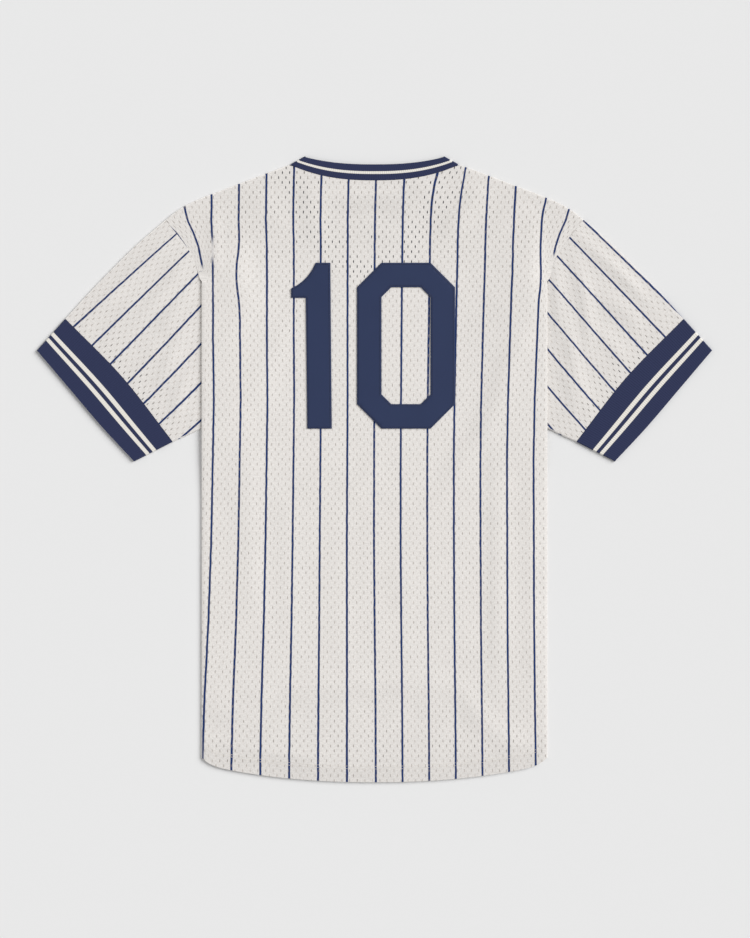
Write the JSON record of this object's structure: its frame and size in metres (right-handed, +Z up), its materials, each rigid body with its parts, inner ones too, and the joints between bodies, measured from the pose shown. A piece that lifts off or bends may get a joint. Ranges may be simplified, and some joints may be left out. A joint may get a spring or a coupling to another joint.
{
  "type": "baseball jersey",
  "caption": "Short-sleeved pullover baseball jersey of pinstriped mesh with striped rib collar and cuffs and a block number, laid flat with its back up.",
  "frame": {"origin": "centre of the garment's rectangle in plan, on the surface that it lies on", "axes": "+X to the right of a viewer who looks down on the back with the neck away from them, +Y towards the neck, +Z up out of the back"},
  "size_m": [0.8268, 0.7665, 0.0063],
  "materials": {
    "jersey_mesh": "off-white polyester mesh with navy pinstripes",
    "rib_knit": "navy rib knit with cream bands",
    "number_twill": "navy woven twill, slightly satin"
  },
  "bodies": {
    "root": {"back_panel": "jersey_mesh", "front_panel": "jersey_mesh", "sleeve_left": "jersey_mesh", "sleeve_right": "jersey_mesh", "cuff_left": "rib_knit", "cuff_right": "rib_knit", "collar": "rib_knit", "digit_one": "number_twill", "digit_zero": "number_twill"}
  },
  "joints": []
}
